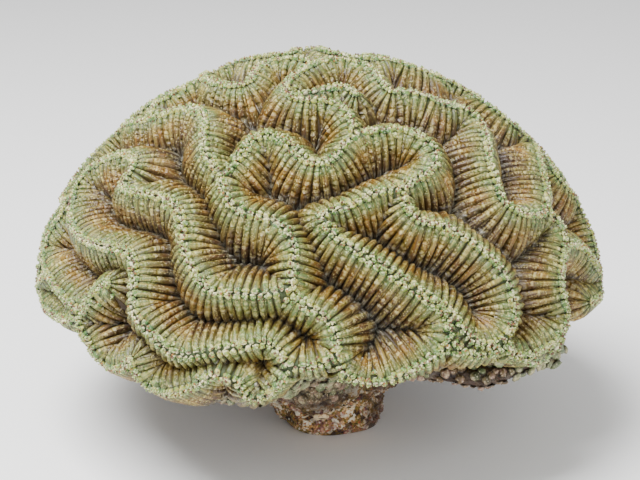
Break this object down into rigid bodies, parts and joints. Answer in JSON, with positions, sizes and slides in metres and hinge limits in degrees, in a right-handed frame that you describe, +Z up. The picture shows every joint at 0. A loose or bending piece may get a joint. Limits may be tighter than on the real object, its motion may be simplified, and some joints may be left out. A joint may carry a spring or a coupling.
{
  "type": "brain coral",
  "caption": "Rounded fleshy brain coral head with winding ribbed walls on a short encrusted base that is cut flat to stand on.",
  "frame": {"origin": "centre of the flat cut foot that the coral stands on", "axes": "+Z up through the top of the dome, -Y towards the front that the picture shows, +X to its right"},
  "size_m": [0.1953, 0.1942, 0.1307],
  "materials": {
    "living_coral": "rough",
    "encrusted_rock": "rough"
  },
  "bodies": {
    "root": {"coral_head": "living_coral", "encrusted_base": "encrusted_rock"}
  },
  "joints": []
}
